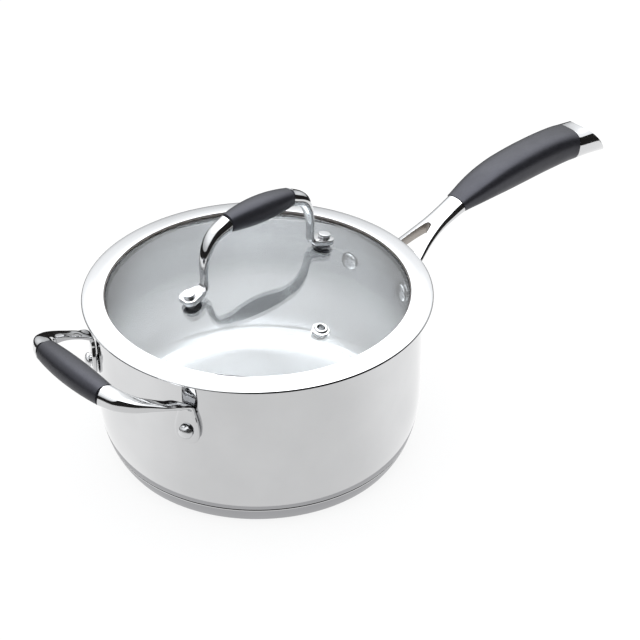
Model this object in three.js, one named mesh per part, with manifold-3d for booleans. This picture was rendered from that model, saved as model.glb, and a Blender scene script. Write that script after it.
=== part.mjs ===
// Saucepan with a domed glass lid: 20 cm class, one long forked handle, one helper handle.
// Millimetres, +Z up. The origin is the centre of the flat underside of the base,
// and the long handle points along +X.
import * as THREE from 'three';
import { mergeVertices } from 'three/addons/utils/BufferGeometryUtils.js';
import Module from 'manifold-3d';

const wasm = await Module();
wasm.setup();

// ---------- driving dimensions ----------
const SEGMENTS = 48; // facets round the pan and the lid
const SMALL_SEGMENTS = 14; // facets round a rivet, washer or eyelet
const GAP = 0.3; // clearance between neighbouring pieces

const PAN = {
  wall: 100.5, // outer radius of the straight wall
  sheet: 1.0, // thickness of the steel
  bellyDepth: 11.0, // how far the belly draws in at the base
  bellyHeight: 47.0, // where the belly meets the straight wall
  seam: 12.0, // height of the joint between body and base cap
  floor: 7.0, // underside of the inner floor
  floorRadius: 84.0, // flat part of the inner floor
  lipStart: 99.5, // where the pouring lip begins to flare
  lipRadius: 105.3,
  lipTop: 104.1,
};
const CAP = { sheet: 0.8, proud: 0.25, flatRadius: 88.4, edge: 1.2 };

const DOME = {
  radius: 274.0, // outer sphere of the glass
  apex: 122.5, // height of its highest point
  thickness: 4.0,
  edge: 96.9, // outer radius of the glass disc
};
const RIM = {
  outer: 107.0,
  roll: 1.5, // radius of the rolled outer edge
  shoulder: { radius: 103.8, height: 106.72 },
  crown: { radius: 99.0, height: 107.45 },
  inner: 93.3,
  innerTop: 107.85,
  sheet: 0.6,
  web: 98.0, // inner face of the upright web that holds the glass
  skirt: 98.9, // outer face of the skirt that drops into the pan
  flangeUnder: 104.5,
  skirtBottom: 98.2,
  ledge: 100.2, // upper face of the ledge below the glass
  ledgeInner: 94.6,
};

const LONG_HANDLE = {
  rivetAngle: THREE.MathUtils.degToRad(14.5), // either side of +X
  rivetHeight: 75.3,
  gripStart: { x: 167.0, z: 104.0, lean: THREE.MathUtils.degToRad(-16) },
  gripEnd: { x: 269.4, z: 112.8, lean: THREE.MathUtils.degToRad(3) },
  slotEnd: 143.5, // closed end of the fork's slot
  slotRadius: 3.0,
  slotFlare: THREE.MathUtils.degToRad(17), // either side, where the slot opens out
  slotMouth: [[101, 16.5], [80, 21]], // [distance from the axis, half width] towards the pan
};
const HELPER = {
  rivetAngle: THREE.MathUtils.degToRad(27.3), // either side of -X
  rivetHeight: 71.3,
};
const LID_HANDLE = {
  rivetRadius: 51.2,
  shift: 0.8, // the whole handle sits a little towards +X
  gripShift: 1.1, // and its grip a little further
};
const VENT = { radius: 67.5, azimuth: THREE.MathUtils.degToRad(-96), hole: 3.5 };

const SHANK = 2.5; // radius of a rivet shank
const HOLE = SHANK + GAP; // radius of the hole it goes through

// ---------- materials ----------
const finish = (color, roughness, metalness, extra = {}) =>
  new THREE.MeshStandardMaterial({ color, roughness, metalness, ...extra });
const polishedSteel = finish(0xd4d6d8, 0.12, 1.0);
const satinSteel = finish(0xc2c4c6, 0.3, 1.0);
const aluminium = finish(0xb4b6b9, 0.45, 1.0);
const greySilicone = finish(0x3b3b41, 0.6, 0.0);
const blackSilicone = finish(0x17171a, 0.65, 0.0);
const temperedGlass = finish(0xdfe9ea, 0.03, 0.0, { transparent: true, opacity: 0.3 });

// ---------- helpers ----------
const v2 = (x, y) => new THREE.Vector2(x, y);
const v3 = (x, y, z) => new THREE.Vector3(x, y, z);

// A closed geometry as a solid that can be joined and cut.
function solid(geometry) {
  const bare = geometry.index ? geometry.clone() : mergeVertices(geometry);
  bare.deleteAttribute('normal');
  bare.deleteAttribute('uv');
  const merged = mergeVertices(bare, 1e-4);
  const triVerts = [];
  for (let i = 0; i < merged.index.count; i += 3) {
    const [a, b, c] = [0, 1, 2].map((k) => merged.index.getX(i + k));
    if (a !== b && b !== c && c !== a) triVerts.push(a, b, c);
  }
  return new wasm.Manifold(new wasm.Mesh({
    numProp: 3,
    vertProperties: Float32Array.from(merged.attributes.position.array),
    triVerts: Uint32Array.from(triVerts),
  }));
}

function geometryOf(shape) {
  const { vertProperties, triVerts } = shape.getMesh();
  const geometry = new THREE.BufferGeometry();
  geometry.setAttribute('position', new THREE.BufferAttribute(vertProperties, 3));
  geometry.setIndex(new THREE.BufferAttribute(triVerts, 1));
  return geometry;
}

function part(name, shape, material) {
  const geometry = shape.isBufferGeometry ? shape : geometryOf(shape);
  const mesh = new THREE.Mesh(geometry, material);
  mesh.name = name;
  return mesh;
}

// A body of revolution about Z from [radius, height] pairs, listed up the outside and down the inside.
function turned(profile, segments = SEGMENTS) {
  const points = profile.map(([r, z]) => v2(r, z));
  const closes = profile[0][0] === 0 && profile.at(-1)[0] === 0;
  if (!closes) points.push(points[0].clone());
  return new THREE.LatheGeometry(points, segments).rotateX(Math.PI / 2);
}

const pairs = (curve, count) => curve.getPoints(count).map((p) => [p.x, p.y]);

// A bar that follows a row of stations. Each station has its centre, the direction of its
// outer face, its half width and half height, how square its section is, and how much the
// section narrows towards its underside.
function sweep(stations, { around = 16, steps = 24 } = {}) {
  const curveOf = (pick, kind) => new THREE.CatmullRomCurve3(stations.map(pick), false, kind);
  const path = curveOf((s) => s.at, 'centripetal');
  const outward = curveOf((s) => s.out, 'catmullrom');
  const size = curveOf((s) => v3(s.width, s.height, s.square ?? 2), 'catmullrom');
  const taper = curveOf((s) => v3(s.taper ?? 0, 0, 0), 'catmullrom');
  const rounded = (value, square) =>
    (Math.abs(value) < 1e-9 ? 0 : Math.sign(value) * Math.abs(value) ** (2 / square));

  const bar = new THREE.CylinderGeometry(1, 1, 1, around, steps);
  const position = bar.attributes.position;
  for (let i = 0; i < position.count; i++) {
    const t = Math.min(Math.max(position.getY(i) + 0.5, 0), 1);
    const along = path.getTangent(t);
    const across = along.clone().cross(outward.getPoint(t)).normalize();
    const out = across.clone().cross(along);
    const { x: width, y: height, z: square } = size.getPoint(t);
    const up = rounded(position.getZ(i), square);
    const side = rounded(position.getX(i), square) * (1 + taper.getPoint(t).x * up);
    const point = path.getPoint(t);
    point.addScaledVector(across, side * width).addScaledVector(out, up * height);
    position.setXYZ(i, point.x, point.y, point.z);
  }
  return bar;
}

// The same stations with every section grown by a margin, for the hole round a core.
const grown = (stations, margin) =>
  stations.map((s) => ({ ...s, width: s.width + margin, height: s.height + margin }));

const disc = (radius, from, to, segments = SMALL_SEGMENTS) =>
  turned([[0, from], [radius, from], [radius, to], [0, to]], segments);

// Turns a piece made along +Z so that it points along a level direction from the pan's axis.
const onWall = (azimuth, height) => new THREE.Matrix4()
  .makeTranslation(0, 0, height)
  .multiply(new THREE.Matrix4().makeRotationZ(azimuth))
  .multiply(new THREE.Matrix4().makeRotationY(Math.PI / 2));

// Stands a piece on the outside of the glass at a distance from the axis, square to the dome.
function onDome(radius, azimuth) {
  const lean = Math.asin(radius / DOME.radius);
  return new THREE.Matrix4()
    .makeTranslation(0, 0, DOME.apex - DOME.radius)
    .multiply(new THREE.Matrix4().makeRotationZ(azimuth))
    .multiply(new THREE.Matrix4().makeRotationY(lean))
    .multiply(new THREE.Matrix4().makeTranslation(0, 0, DOME.radius));
}

const domeHeight = (radius, sphere = DOME.radius) =>
  DOME.apex - DOME.radius + Math.sqrt(sphere ** 2 - radius ** 2);

// ---------- pan ----------
const bellyRadius = (z) =>
  PAN.wall - (z < PAN.bellyHeight ? PAN.bellyDepth * (1 - z / PAN.bellyHeight) ** 3 : 0);

const wallAzimuths = {
  handle_rivet_left: LONG_HANDLE.rivetAngle,
  handle_rivet_right: -LONG_HANDLE.rivetAngle,
  helper_rivet_left: Math.PI - HELPER.rivetAngle,
  helper_rivet_right: Math.PI + HELPER.rivetAngle,
};
const rivetHeight = (name) => (name.startsWith('handle') ? LONG_HANDLE : HELPER).rivetHeight;

function panShell() {
  const step = 1.2; // how far the body draws in behind the base cap
  const seamOuter = bellyRadius(PAN.seam) - step;
  const corner = new THREE.QuadraticBezierCurve(
    v2(PAN.floorRadius, PAN.floor), v2(seamOuter - 2.4, PAN.floor), v2(seamOuter, PAN.seam + 0.1));
  const cornerInside = new THREE.QuadraticBezierCurve(
    v2(seamOuter - 0.7, PAN.seam + 0.8), v2(seamOuter - 3.2, PAN.floor + PAN.sheet),
    v2(PAN.floorRadius - 0.4, PAN.floor + PAN.sheet));
  const bellyHeights = [17, 25, PAN.bellyHeight];
  const lip = new THREE.CubicBezierCurve(
    v2(PAN.wall, PAN.lipStart), v2(PAN.wall, PAN.lipStart + 2.8),
    v2(PAN.lipRadius - 2.2, PAN.lipTop - 1.2), v2(PAN.lipRadius, PAN.lipTop - 0.8));
  const lipInside = new THREE.CubicBezierCurve(
    v2(PAN.lipRadius - 0.6, PAN.lipTop), v2(PAN.lipRadius - 3.0, PAN.lipTop - 0.5),
    v2(PAN.wall - PAN.sheet, PAN.lipStart + 3.4), v2(PAN.wall - PAN.sheet, PAN.lipStart));
  const inner = (z) => bellyRadius(z) - PAN.sheet;
  const shell = turned([
    [0, PAN.floor],
    ...pairs(corner, 3),
    [bellyRadius(PAN.seam + 0.5), PAN.seam + 0.5],
    ...bellyHeights.map((z) => [bellyRadius(z), z]),
    ...pairs(lip, 3),
    [PAN.lipRadius, PAN.lipTop - 0.2],
    ...pairs(lipInside, 3),
    ...bellyHeights.toReversed().map((z) => [inner(z), z]),
    ...pairs(cornerInside, 3),
    [0, PAN.floor + PAN.sheet],
  ]);
  return Object.entries(wallAzimuths).reduce((body, [name, azimuth]) => {
    const drill = disc(HOLE, PAN.wall - 6, PAN.wall + 6);
    return body.subtract(solid(drill.applyMatrix4(onWall(azimuth, rivetHeight(name)))));
  }, solid(shell));
}

function baseCap() {
  const outer = (z) => bellyRadius(z) + CAP.proud;
  const inner = (z) => outer(z) - CAP.sheet;
  const heights = [CAP.edge, 5, PAN.seam - 0.4];
  return turned([
    [0, 0],
    [CAP.flatRadius, 0],
    [outer(0) - 0.35, 0.35],
    ...heights.map((z) => [outer(z), z]),
    [inner(PAN.seam) + 0.4, PAN.seam],
    ...heights.toReversed().slice(0, -1).map((z) => [inner(z), z]),
    [inner(1.6), 1.6],
    [CAP.flatRadius - 0.3, CAP.sheet],
    [0, CAP.sheet],
  ]);
}

function baseCore() {
  const outer = (z) => bellyRadius(z) + CAP.proud - CAP.sheet - GAP;
  const [bottom, top] = [CAP.sheet + GAP, PAN.floor - GAP];
  return turned([
    [0, bottom],
    [CAP.flatRadius - 0.6, bottom],
    [outer(3), 3],
    [outer(top), top],
    [0, top],
  ]);
}

// A rivet through the wall: a low dome inside the pan, its shank, and a head or a plain end outside.
function wallRivet(name) {
  const seat = PAN.wall - PAN.sheet - 2 * GAP; // flat back of the inner head
  const inner = { radius: 5.8, height: 2.0 };
  const insideHead = [
    [0, seat - inner.height],
    [inner.radius * 0.45, seat - inner.height * 0.9],
    [inner.radius * 0.85, seat - inner.height * 0.5],
    [inner.radius, seat - inner.height * 0.15],
    [inner.radius, seat],
    [SHANK, seat],
  ];
  const outsideHead = { radius: 4.5, height: 3.2, seat: PAN.wall + 4.2 };
  const dome = (angle) => [
    outsideHead.radius * Math.cos(angle), outsideHead.seat + 0.6 + 2.6 * Math.sin(angle)];
  const end = name.startsWith('helper')
    ? [[SHANK, outsideHead.seat], [outsideHead.radius, outsideHead.seat],
      ...[0, 0.4, 0.8, 1.2].map(dome), [0, outsideHead.seat + outsideHead.height]]
    : [[SHANK, PAN.wall + 4.5], [0, PAN.wall + 4.5]];
  return turned([...insideHead, ...end], SMALL_SEGMENTS)
    .applyMatrix4(onWall(wallAzimuths[name], rivetHeight(name)));
}

// ---------- long handle ----------
// [distance from the axis, top, underside, half width, squareness of the section]
const FORK = [
  [95, 73.0, 66.0, 31.5, 2.6], [104, 76.6, 69.4, 27.2, 2.6], [111, 80.4, 73.0, 21.2, 2.6],
  [118, 84.4, 76.9, 16.4, 2.5], [126, 88.9, 81.2, 13.3, 2.4], [136, 94.6, 86.7, 10.3, 2.4],
  [147, 99.9, 91.6, 8.2, 2.4], [157, 104.5, 95.1, 7.8, 2.4], [167, 108.9, 98.0, 8.0, 2.5],
  [176, 112.3, 98.8, 9.0, 2.5],
];
const GRIP = [
  [158, 104.9, 97.8, 7.7, 3.1], [168, 109.5, 98.2, 8.2, 2.9], [180, 114.6, 99.2, 10.1, 2.9],
  [191, 118.6, 99.9, 11.4, 2.8], [204, 122.0, 100.4, 12.0, 2.8], [220, 124.2, 101.1, 12.2, 2.8],
  [236, 125.4, 101.8, 12.1, 2.8], [251, 125.7, 102.2, 12.1, 2.8], [263, 125.0, 102.4, 12.3, 2.8],
  [272, 123.7, 101.9, 12.7, 2.7], [282, 122.7, 100.8, 12.2, 2.7], [293, 120.9, 98.6, 10.8, 2.6],
  [306, 117.9, 95.6, 7.9, 2.6],
];
const middleOf = (row) => (row[1] + row[2]) / 2;
const handleStations = (rows, taper) => rows.map((row, i) => {
  const before = rows[Math.max(i - 1, 0)];
  const after = rows[Math.min(i + 1, rows.length - 1)];
  const slope = Math.atan2(middleOf(after) - middleOf(before), after[0] - before[0]);
  return {
    at: v3(row[0], 0, middleOf(row)),
    out: v3(0, 0, 1),
    width: row[3],
    height: (row[1] - row[2]) / 2 * Math.cos(slope),
    square: row[4],
    taper,
  };
});

const TANG = [161, 180, 200, 225, 250, 266, 278].map((x) => {
  const next = GRIP.findIndex((row) => row[0] >= x);
  const [a, b] = [GRIP[next - 1], GRIP[next]];
  const height = THREE.MathUtils.mapLinear(x, a[0], b[0], middleOf(a), middleOf(b));
  return { at: v3(x, 0, height), out: v3(0, 0, 1), width: 4.5, height: 2.6, square: 3 };
});

// Everything on the handle's outer side (side 1) or pan side (side -1) of a seam between pieces.
function beyond(seam, side) {
  const size = 400;
  const block = new THREE.BoxGeometry(size, size, size)
    .translate(side * (size / 2 + GAP / 2), 0, 0)
    .rotateY(seam.lean)
    .translate(seam.x, 0, seam.z);
  return solid(block);
}

function forkSlot() {
  const { slotEnd, slotRadius, slotFlare, slotMouth } = LONG_HANDLE;
  const centre = slotEnd - slotRadius;
  const bend = Math.PI / 2 - slotFlare;
  const outline = new THREE.Shape();
  outline.moveTo(centre + slotRadius * Math.cos(bend), -slotRadius * Math.sin(bend));
  outline.absarc(centre, 0, slotRadius, -bend, bend, false);
  for (const [x, half] of slotMouth) outline.lineTo(x, half);
  for (const [x, half] of slotMouth.toReversed()) outline.lineTo(x, -half);
  outline.closePath();
  const depth = 2 * LONG_HANDLE.rivetHeight;
  return new THREE.ExtrudeGeometry(outline, { depth, bevelEnabled: false, curveSegments: 10 });
}

// A rounded plate that lies along the outside of the wall, centred on a rivet.
function wallFoot(azimuth, height, { width, tall, thickness }) {
  const round = width * 0.42;
  const outline = new THREE.Shape();
  const [right, top] = [width / 2, tall / 2];
  outline.moveTo(-right + round, -top);
  outline.lineTo(right - round, -top);
  outline.absarc(right - round, -top + round, round, -Math.PI / 2, 0, false);
  outline.lineTo(right, top - round);
  outline.absarc(right - round, top - round, round, 0, Math.PI / 2, false);
  outline.lineTo(-right + round, top);
  outline.absarc(-right + round, top - round, round, Math.PI / 2, Math.PI, false);
  outline.lineTo(-right, -top + round);
  outline.absarc(-right + round, -top + round, round, Math.PI, 1.5 * Math.PI, false);
  const depth = 16;
  const plate = new THREE.ExtrudeGeometry(outline, { depth, bevelEnabled: false, curveSegments: 5 })
    .rotateZ(Math.PI / 2)
    .translate(0, 0, PAN.wall - depth / 2)
    .applyMatrix4(onWall(azimuth, height));
  const [near, far] = [PAN.wall + GAP, PAN.wall + GAP + thickness];
  const band = turned([
    [near, height - tall], [far, height - tall], [far, height + tall], [near, height + tall]]);
  return solid(plate).intersect(solid(band));
}

function handleStem() {
  const fork = solid(sweep(handleStations(FORK, -0.04), { around: 16, steps: 18 }))
    .intersect(beyond(LONG_HANDLE.gripStart, -1));
  const tang = solid(sweep(TANG, { around: 8, steps: 6 }));
  const foot = { width: 18, tall: 22, thickness: 3.4 };
  let stem = fork.subtract(solid(forkSlot())).add(tang);
  const inside = solid(disc(PAN.wall + GAP, 50, 130, SEGMENTS));
  stem = stem.subtract(inside);
  for (const name of ['handle_rivet_left', 'handle_rivet_right']) {
    const azimuth = wallAzimuths[name];
    const socket = disc(HOLE, PAN.wall - 2, PAN.wall + 4.5 + GAP)
      .applyMatrix4(onWall(azimuth, LONG_HANDLE.rivetHeight));
    stem = stem.add(wallFoot(azimuth, LONG_HANDLE.rivetHeight, foot)).subtract(solid(socket));
  }
  return stem;
}

// The grip and the end cap share one outer surface, and one hole for the tang.
function handleSleeve() {
  const outside = sweep(handleStations(GRIP, 0.08), { around: 16, steps: 22 });
  return solid(outside).subtract(solid(sweep(grown(TANG, GAP), { around: 8, steps: 6 })));
}

const handleGrip = () => handleSleeve()
  .intersect(beyond(LONG_HANDLE.gripStart, 1))
  .intersect(beyond(LONG_HANDLE.gripEnd, -1));

function handleEndCap() {
  const slant = new THREE.Shape(); // side view of the cap: a long slant down to a low tip
  slant.moveTo(260, 80);
  slant.lineTo(302.8, 80);
  slant.lineTo(303.0, 96.8);
  slant.quadraticCurveTo(292.5, 110.6, 281.6, 121.2);
  slant.quadraticCurveTo(280.0, 122.6, 277.0, 124.5);
  slant.lineTo(260, 130);
  slant.closePath();
  const depth = 40;
  const cutter = new THREE.ExtrudeGeometry(slant, { depth, bevelEnabled: false, curveSegments: 5 })
    .translate(0, 0, -depth / 2)
    .rotateX(Math.PI / 2);
  return handleSleeve().intersect(solid(cutter)).intersect(beyond(LONG_HANDLE.gripEnd, 1));
}

// ---------- bow handles: a strap foot, an arm and a collar on each side of a grip ----------
// Every bow spans Y. A half is listed from its foot up to the end of the grip.
const mirrored = (stations, side) => stations.map((s) => ({
  ...s,
  at: v3(s.at.x, s.at.y * side + (s.slide ?? 0), s.at.z),
  out: v3(s.out.x, s.out.y * side, s.out.z),
}));

// The silicone part of a bow from end to end: its middle is fatter than its ends.
function gripStations({ end, middle, out, ends, swell, square, slide = 0 }) {
  const shares = [-1, -0.72, -0.38, 0, 0.38, 0.72, 1];
  return shares.map((share) => {
    const bow = 1 - share ** 2;
    const at = v3(
      THREE.MathUtils.lerp(end.x, middle.x, bow), end.y * share + slide,
      THREE.MathUtils.lerp(end.z, middle.z, bow));
    return { at, out, width: ends + swell * bow, height: ends + swell * 0.9 * bow, square };
  });
}

const coreOf = (stations, radius, reach) => stations.map((s, i) => {
  const last = stations.length - 1;
  const past = i === 0 ? -reach : i === last ? reach : 0;
  return { ...s, at: s.at.clone().add(v3(0, past, 0)), width: radius, height: radius, square: 2 };
});

// The stretch of a bow that lies between the two flat ends of its grip.
function betweenSeams(stations, margin) {
  const [first, last] = [stations[0].at, stations.at(-1).at];
  return solid(new THREE.BoxGeometry(400, last.y - first.y + 2 * margin, 400)
    .translate(0, (first.y + last.y) / 2, 0));
}

function bowMetal(half, grip, core, steps) {
  const arms = [1, -1].map((side) => solid(sweep(mirrored(half, side), { around: 10, steps })));
  return arms[0].add(arms[1])
    .subtract(betweenSeams(grip, GAP / 2))
    .add(solid(sweep(core, { around: 8, steps: 6 })));
}

function bowGrip(stations, core) {
  return solid(sweep(stations, { around: 16, steps: 12 }))
    .intersect(betweenSeams(stations, -GAP / 2))
    .subtract(solid(sweep(grown(core, GAP), { around: 8, steps: 6 })));
}

// Helper handle
const HELPER_TILT = THREE.MathUtils.degToRad(8); // how far the top of the grip leans towards the pan
const helperUp = v3(Math.sin(HELPER_TILT), 0, Math.cos(HELPER_TILT));
const helperDown = helperUp.clone().negate(); // the strap turns over where it bends off the wall
const helperRadial = v3(-Math.cos(HELPER.rivetAngle), Math.sin(HELPER.rivetAngle), 0);
const tabThickness = 1.55; // half of the strap's thickness
const tabRadius = PAN.wall + GAP + 0.15 + tabThickness;
const onTab = (z, width, radius = tabRadius) => ({
  at: helperRadial.clone().multiplyScalar(radius).add(v3(0, 0, z)),
  out: helperRadial,
  width,
  height: tabThickness,
  square: 5,
});
const helperGripStations = gripStations({
  end: v3(-134.3, 29.2, 106.1), middle: v3(-135.6, 0, 107.0),
  out: helperUp, ends: 6.5, swell: 1.7, square: 2.4,
});
const helperHalf = [
  onTab(63.0, 3.2), onTab(63.9, 5.3), onTab(66.4, 7.3), onTab(71.3, 7.9), onTab(77.3, 7.2),
  onTab(83.3, 5.6),
  { ...onTab(88.0, 5.0, tabRadius + 1.0), out: v3(-0.7, 0.3, -0.6), square: 3.4 },
  { at: v3(-98.6, 47.0, 92.1), out: helperDown, width: 4.8, height: 1.7, square: 3 },
  { at: v3(-106, 47.2, 95.3), out: helperDown, width: 4.7, height: 1.8, square: 2.8 },
  { at: v3(-115, 46.0, 99.1), out: helperDown, width: 4.9, height: 2.4, square: 3.4 },
  { at: v3(-124.6, 43.0, 102.5), out: helperDown, width: 5.5, height: 3.6, square: 3.6 },
  { at: v3(-131.2, 37.2, 104.9), out: helperDown, width: 6.1, height: 5.1, square: 3.2 },
  { at: v3(-134.6, 28.4, 106.2), out: helperDown, width: 6.4, height: 6.3, square: 2.6 },
];
const helperCore = coreOf(helperGripStations, 3.0, 2);

function helperHandle() {
  let handle = bowMetal(helperHalf, helperGripStations, helperCore, 26);
  for (const name of ['helper_rivet_left', 'helper_rivet_right']) {
    const drill = disc(HOLE, PAN.wall - 2, PAN.wall + 8);
    handle = handle.subtract(solid(drill.applyMatrix4(onWall(wallAzimuths[name], HELPER.rivetHeight))));
  }
  return handle;
}

// ---------- lid ----------
const PAD = { from: 0.2, to: 2.1, inset: 1.8 };
const FOOT = { from: PAD.to + GAP, to: PAD.to + GAP + 3.2 };
const SEAL = { from: -DOME.thickness - 1.2, to: -DOME.thickness - 0.2, radius: 6 };
const WASHER = { from: SEAL.from - GAP - 1.0, to: SEAL.from - GAP, radius: 5.6 };
const LID_FEET = {
  left: onDome(LID_HANDLE.rivetRadius - LID_HANDLE.shift, Math.PI),
  right: onDome(LID_HANDLE.rivetRadius + LID_HANDLE.shift, 0),
};
const VENT_PLACE = onDome(VENT.radius, VENT.azimuth);

function lidGlass() {
  const inner = DOME.radius - DOME.thickness;
  const radii = [0, 16, 32, 48, 63, 78, RIM.inner - 0.5, DOME.edge];
  const glass = turned([
    ...radii.map((r) => [r, domeHeight(r, inner)]),
    ...radii.toReversed().map((r) => [r, domeHeight(r)]),
  ]);
  const holes = [...Object.values(LID_FEET).map((place) => [HOLE, place]), [VENT.hole, VENT_PLACE]];
  return holes.reduce((body, [radius, place]) =>
    body.subtract(solid(disc(radius, -12, 8).applyMatrix4(place))), solid(glass));
}

function lidRim() {
  const under = RIM.innerTop - RIM.sheet;
  const rollAt = (degrees) => {
    const angle = THREE.MathUtils.degToRad(degrees);
    return [RIM.outer - RIM.roll * (1 - Math.cos(angle)),
      RIM.flangeUnder + GAP + RIM.roll * Math.sin(angle)];
  };
  return turned([
    [RIM.ledgeInner, RIM.ledge - 0.7],
    [RIM.web - 0.3, RIM.ledge - 0.7],
    [RIM.web, RIM.skirtBottom],
    [RIM.skirt, RIM.skirtBottom],
    [RIM.skirt, RIM.flangeUnder],
    [RIM.outer - 0.3, RIM.flangeUnder],
    ...[0, 35, 70].map(rollAt),
    [RIM.shoulder.radius, RIM.shoulder.height],
    [RIM.crown.radius, RIM.crown.height],
    [RIM.inner, RIM.innerTop],
    [RIM.inner, under],
    [RIM.web, RIM.innerTop - 1.25],
    [RIM.web, RIM.ledge],
    [RIM.ledgeInner, RIM.ledge],
  ]);
}

function lidGasket() {
  const slack = 0.12;
  const inner = DOME.radius - DOME.thickness;
  const outer = RIM.web - slack;
  const lip = RIM.inner - 0.5;
  const bore = DOME.edge + slack;
  return turned([
    [RIM.ledgeInner, RIM.ledge + slack],
    [outer, RIM.ledge + slack],
    [outer, RIM.innerTop - 1.25 - slack],
    [lip, RIM.innerTop - RIM.sheet - slack],
    [lip, domeHeight(lip) + slack],
    [bore, domeHeight(bore) + slack],
    [bore, domeHeight(bore, inner) - slack],
    [RIM.ledgeInner, domeHeight(RIM.ledgeInner, inner) - slack],
  ]);
}

// Plan of a lid foot with its rivet at the origin and its tip towards +X.
function footOutline(inset) {
  const plan = [
    [-9.4, 4.0], [1.4, 6.6], [5.2, 4.2], [5.2, -4.2], [1.4, -6.6], [-9.4, -4.0]];
  const shrink = 1 - inset / 6.6;
  return new THREE.Shape(plan.map(([x, y]) => v2(x * shrink, y * shrink)));
}

const lidGripStations = gripStations({
  end: v3(0, 23.6, 161.7), middle: v3(0, 0, 162.3),
  out: v3(0, 0, 1), ends: 5.5, swell: 2.5, square: 2.4,
  slide: LID_HANDLE.shift + LID_HANDLE.gripShift,
});
const lidHalf = [
  { at: v3(0, 45.3, 123.6), out: v3(0, 0.19, 1), width: 3.8, height: 1.6, square: 5 },
  { at: v3(0, 42.4, 124.3), out: v3(0, 0.3, 1), width: 3.8, height: 1.6, square: 4 },
  { at: v3(0, 41.1, 126.3), out: v3(0, 1, 0.5), width: 3.3, height: 1.6, square: 3 },
  { at: v3(0, 41.0, 132), out: v3(0, 1, 0), width: 3.1, height: 1.75, square: 2.4 },
  { at: v3(0, 40.6, 140.5), out: v3(0, 1, 0.1), width: 3.5, height: 2.3, square: 2.2 },
  { at: v3(0, 38.4, 149.6), out: v3(0, 1, 0.5), width: 4.2, height: 3.1, square: 2.2 },
  { at: v3(0, 33.2, 156.9), out: v3(0, 1, 1.4), width: 4.9, height: 4.4, square: 2.3, drift: 0.5 },
  { at: v3(0, 23.0, 161.7), out: v3(0, 0.1, 1), width: 5.4, height: 5.4, square: 2.4, drift: 1 },
].map(({ drift = 0, ...station }) => (
  { ...station, slide: LID_HANDLE.shift + drift * LID_HANDLE.gripShift }));
const lidCore = coreOf(lidGripStations, 2.8, 2);
const lidTurn = new THREE.Matrix4().makeRotationZ(-Math.PI / 2);

function lidHandle() {
  const bow = bowMetal(lidHalf, lidGripStations, lidCore, 18);
  return Object.values(LID_FEET).reduce((handle, place) => {
    const depth = FOOT.to - FOOT.from;
    const plate = new THREE.ExtrudeGeometry(footOutline(0), { depth, bevelEnabled: false })
      .translate(0, 0, FOOT.from)
      .applyMatrix4(place);
    return handle.add(solid(plate)).subtract(solid(disc(HOLE, -5, 12).applyMatrix4(place)));
  }, solid(geometryOf(bow).applyMatrix4(lidTurn)));
}

function footPad(place) {
  const pad = new THREE.ExtrudeGeometry(
    footOutline(PAD.inset), { depth: PAD.to - PAD.from, bevelEnabled: false });
  return solid(pad.translate(0, 0, PAD.from).applyMatrix4(place))
    .subtract(solid(disc(HOLE, -1, 4).applyMatrix4(place)));
}

const ring = ({ from, to, radius, bore = HOLE }, place) => turned(
  [[bore, from], [radius, from], [radius, to], [bore, to]], SMALL_SEGMENTS).applyMatrix4(place);

function lidRivet(place) {
  const head = { radius: 3.8, from: FOOT.to + GAP, height: 2.2 };
  const tail = { radius: 3.9, to: WASHER.from - GAP, height: 1.5 };
  return turned([
    [0, tail.to - tail.height],
    [tail.radius * 0.7, tail.to - tail.height],
    [tail.radius, tail.to - 0.5],
    [tail.radius, tail.to],
    [SHANK, tail.to],
    [SHANK, head.from],
    [head.radius, head.from],
    [head.radius, head.from + head.height - 0.5],
    [head.radius - 0.5, head.from + head.height - 0.1],
    [0, head.from + head.height],
  ], SMALL_SEGMENTS).applyMatrix4(place);
}

function ventEyelet() {
  const [bore, neck, flange, collar] = [2.2, 3.2, 5.3, 3.9];
  const below = -DOME.thickness - 1.9;
  return turned([
    [bore, below], [neck, below], [neck, 0.2], [flange, 0.2], [flange, 0.9],
    [collar, 1.2], [collar, 2.1], [collar - 0.5, 2.5], [bore + 0.5, 2.5], [bore, 2.1],
  ], SMALL_SEGMENTS).applyMatrix4(VENT_PLACE);
}

// ---------- assembly ----------
const pan = new THREE.Group();
pan.add(
  part('pan_shell', panShell(), polishedSteel),
  part('base_core', baseCore(), aluminium),
  part('base_cap', baseCap(), polishedSteel),
  part('handle_stem', handleStem(), polishedSteel),
  part('handle_grip', handleGrip(), greySilicone),
  part('handle_end_cap', handleEndCap(), polishedSteel),
  part('helper_handle', helperHandle(), polishedSteel),
  part('helper_grip', bowGrip(helperGripStations, helperCore), greySilicone),
  ...Object.keys(wallAzimuths).map((name) => part(name, wallRivet(name), satinSteel)),
);

const lid = new THREE.Group();
lid.add(
  part('lid_glass', lidGlass(), temperedGlass),
  part('lid_rim', lidRim(), polishedSteel),
  part('lid_gasket', lidGasket(), blackSilicone),
  part('lid_handle', lidHandle(), polishedSteel),
  part('lid_grip', solid(geometryOf(bowGrip(lidGripStations, lidCore)).applyMatrix4(lidTurn)),
    greySilicone),
  part('vent_eyelet', ventEyelet(), polishedSteel),
  part('vent_collar', ring({ ...SEAL, radius: 5.5, bore: VENT.hole }, VENT_PLACE), satinSteel),
);
for (const [side, place] of Object.entries(LID_FEET)) {
  lid.add(
    part(`lid_rivet_${side}`, lidRivet(place), satinSteel),
    part(`lid_foot_pad_${side}`, footPad(place), blackSilicone),
    part(`lid_seal_${side}`, ring(SEAL, place), blackSilicone),
    part(`lid_washer_${side}`, ring(WASHER, place), satinSteel),
  );
}

const saucepan = new THREE.Group();
saucepan.add(pan, lid);
export default saucepan;
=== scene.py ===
"""Saucepan with a glass lid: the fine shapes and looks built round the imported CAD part.

Shapes are in millimetres, +Z up, with the long handle along +X. The stage is in metres.
"""

import math

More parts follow.
